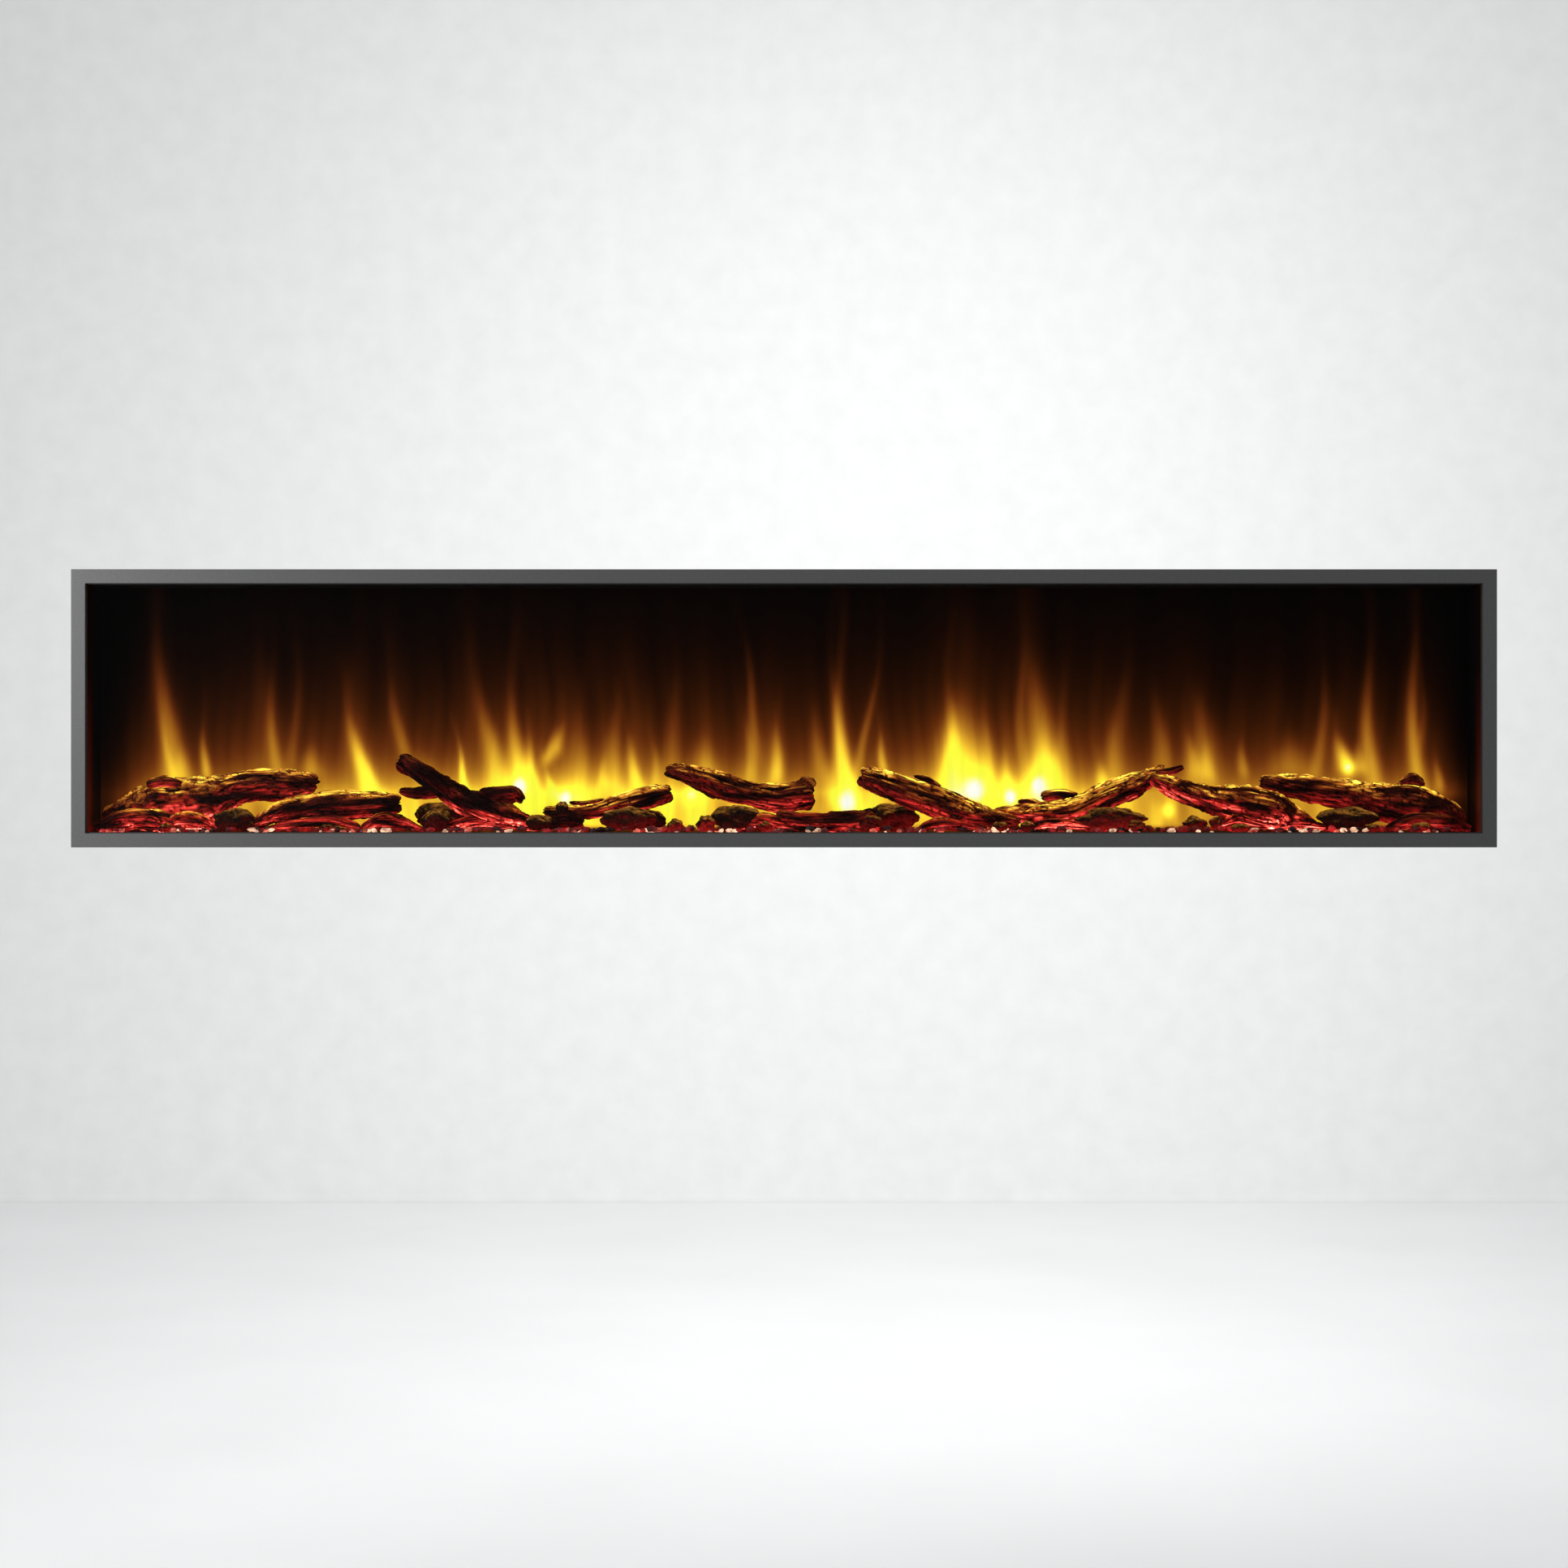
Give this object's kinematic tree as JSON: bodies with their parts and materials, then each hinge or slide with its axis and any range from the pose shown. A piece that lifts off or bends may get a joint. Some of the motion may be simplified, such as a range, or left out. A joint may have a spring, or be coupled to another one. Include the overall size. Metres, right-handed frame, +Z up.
{
  "type": "electric fireplace",
  "caption": "Wide wall-recessed electric fireplace: dark metal trim, glass front, driftwood log bed, projected flames and a top-vented fan heater.",
  "frame": {"origin": "centre of the four wall screws, on the plane of the wall behind the brackets, which is the object's centre in width and height", "axes": "+X right along the long side, +Y into the wall, +Z up; the glass faces -Y"},
  "size_m": [2.035, 0.145, 0.397],
  "materials": {
    "trim_coat": "satin dark grey powder coat with a fine speckle",
    "casing_coat": "satin black coating",
    "galvanised": "galvanised sheet",
    "clip_steel": "plain spring steel",
    "screw_steel": "zinc plated",
    "gasket_rubber": "matt black foam rubber",
    "grommet_rubber": "matt black rubber",
    "front_glass": "clear toughened glass",
    "side_black": "gloss black reflecting panel",
    "screen_film": "smoked screen that shows the flame picture",
    "ember_acrylic": "translucent red acrylic lit from below",
    "crystal": "cut crystals lit red and white",
    "driftwood": "grey-brown driftwood with charred ends",
    "ember_stone": "dark rounded stone",
    "mask_sheet": "thin aluminium sheet",
    "foil": "bright reflecting foil",
    "led_board": "white coated strip board",
    "coupler_rubber": "black rubber",
    "motor_can": "plated motor can",
    "bush_plastic": "natural acetal",
    "wheel_aluminium": "formed aluminium",
    "fin_aluminium": "ceramic heater with aluminium fins",
    "board_green": "green circuit board",
    "standoff_brass": "plain brass",
    "receiver_black": "dark infrared window",
    "pod_plastic": "fine black texture",
    "button_plastic": "smooth dark plastic",
    "rocker_plastic": "gloss black plastic",
    "gland_plastic": "black nylon"
  },
  "bodies": {
    "root": {"casing_top": "casing_coat", "casing_bottom": "casing_coat", "casing_left": "casing_coat", "casing_right": "casing_coat", "casing_back": "galvanised", "wall_flange": "casing_coat", "stud_grommets": "grommet_rubber", "casing_screws": "screw_steel", "wall_bracket_left": "galvanised", "wall_bracket_right": "galvanised", "hang_plates": "galvanised", "firebox_ceiling": "casing_coat", "side_panel_left": "side_black", "side_panel_right": "side_black", "flame_screen": "screen_film", "ember_tray": "ember_acrylic", "ember_crystals": "crystal", "flame_mask": "mask_sheet", "short_logs": "driftwood", "ember_stones": "ember_stone", "ember_led_strip": "led_board", "flame_led_strips": "led_board", "rotor_brackets": "galvanised", "rotor_bush": "bush_plastic", "rotor_motor_left": "motor_can", "rotor_motor_right": "motor_can", "heater_housing": "galvanised", "blower_motor": "motor_can", "heater_element": "fin_aluminium", "outlet_duct": "galvanised", "control_board": "board_green", "board_standoffs": "standoff_brass", "receiver": "receiver_black", "control_pod": "pod_plastic", "pod_board": "board_green", "cable_gland": "gland_plastic", "log_1": "driftwood", "log_2": "driftwood", "log_3": "driftwood", "log_4": "driftwood", "log_5": "driftwood", "log_6": "driftwood", "log_7": "driftwood", "log_8": "driftwood", "log_9": "driftwood"},
    "front_frame": {"front_trim": "trim_coat", "glass_gasket": "gasket_rubber", "glass_panel": "front_glass", "glass_clips": "clip_steel", "clip_screws": "screw_steel", "front_studs": "screw_steel"},
    "left_rotor": {"rotor_left": "foil", "rotor_coupler_left": "coupler_rubber"},
    "right_rotor": {"rotor_right": "foil", "rotor_coupler_right": "coupler_rubber"},
    "blower": {"blower_wheel": "wheel_aluminium"},
    "flame_button": {"button_flame": "button_plastic"},
    "heat_button": {"button_heat": "button_plastic"},
    "timer_button": {"button_timer": "button_plastic"},
    "power_switch": {"power_rocker": "rocker_plastic"}
  },
  "joints": [
    {"name": "front_frame_pull", "type": "slide", "parent": "root", "child": "front_frame", "axis": [0, -1, 0], "range_m": [0, 0.12]},
    {"name": "rotor_left_spin", "type": "hinge", "parent": "root", "child": "left_rotor", "pos_m": [-0.475, -0.037, -0.15], "axis": [1, 0, 0], "continuous": true},
    {"name": "rotor_right_spin", "type": "hinge", "parent": "root", "child": "right_rotor", "pos_m": [0.475, -0.037, -0.15], "axis": [1, 0, 0], "continuous": true},
    {"name": "blower_spin", "type": "hinge", "parent": "root", "child": "blower", "pos_m": [0, -0.0365, 0.122], "axis": [1, 0, 0], "continuous": true},
    {"name": "flame_button_press", "type": "slide", "parent": "root", "child": "flame_button", "axis": [-1, 0, 0], "range_m": [0, 0.0008], "stiffness_N_per_m": 600, "springref_m": -0.0004},
    {"name": "heat_button_press", "type": "slide", "parent": "root", "child": "heat_button", "axis": [-1, 0, 0], "range_m": [0, 0.0008], "stiffness_N_per_m": 600, "springref_m": -0.0004},
    {"name": "timer_button_press", "type": "slide", "parent": "root", "child": "timer_button", "axis": [-1, 0, 0], "range_m": [0, 0.0008], "stiffness_N_per_m": 600, "springref_m": -0.0004},
    {"name": "power_rocker_tilt", "type": "hinge", "parent": "root", "child": "power_switch", "pos_m": [1.0125, -0.1346, 0.103], "axis": [0, 1, 0], "range_deg": [-16, 0]}
  ]
}
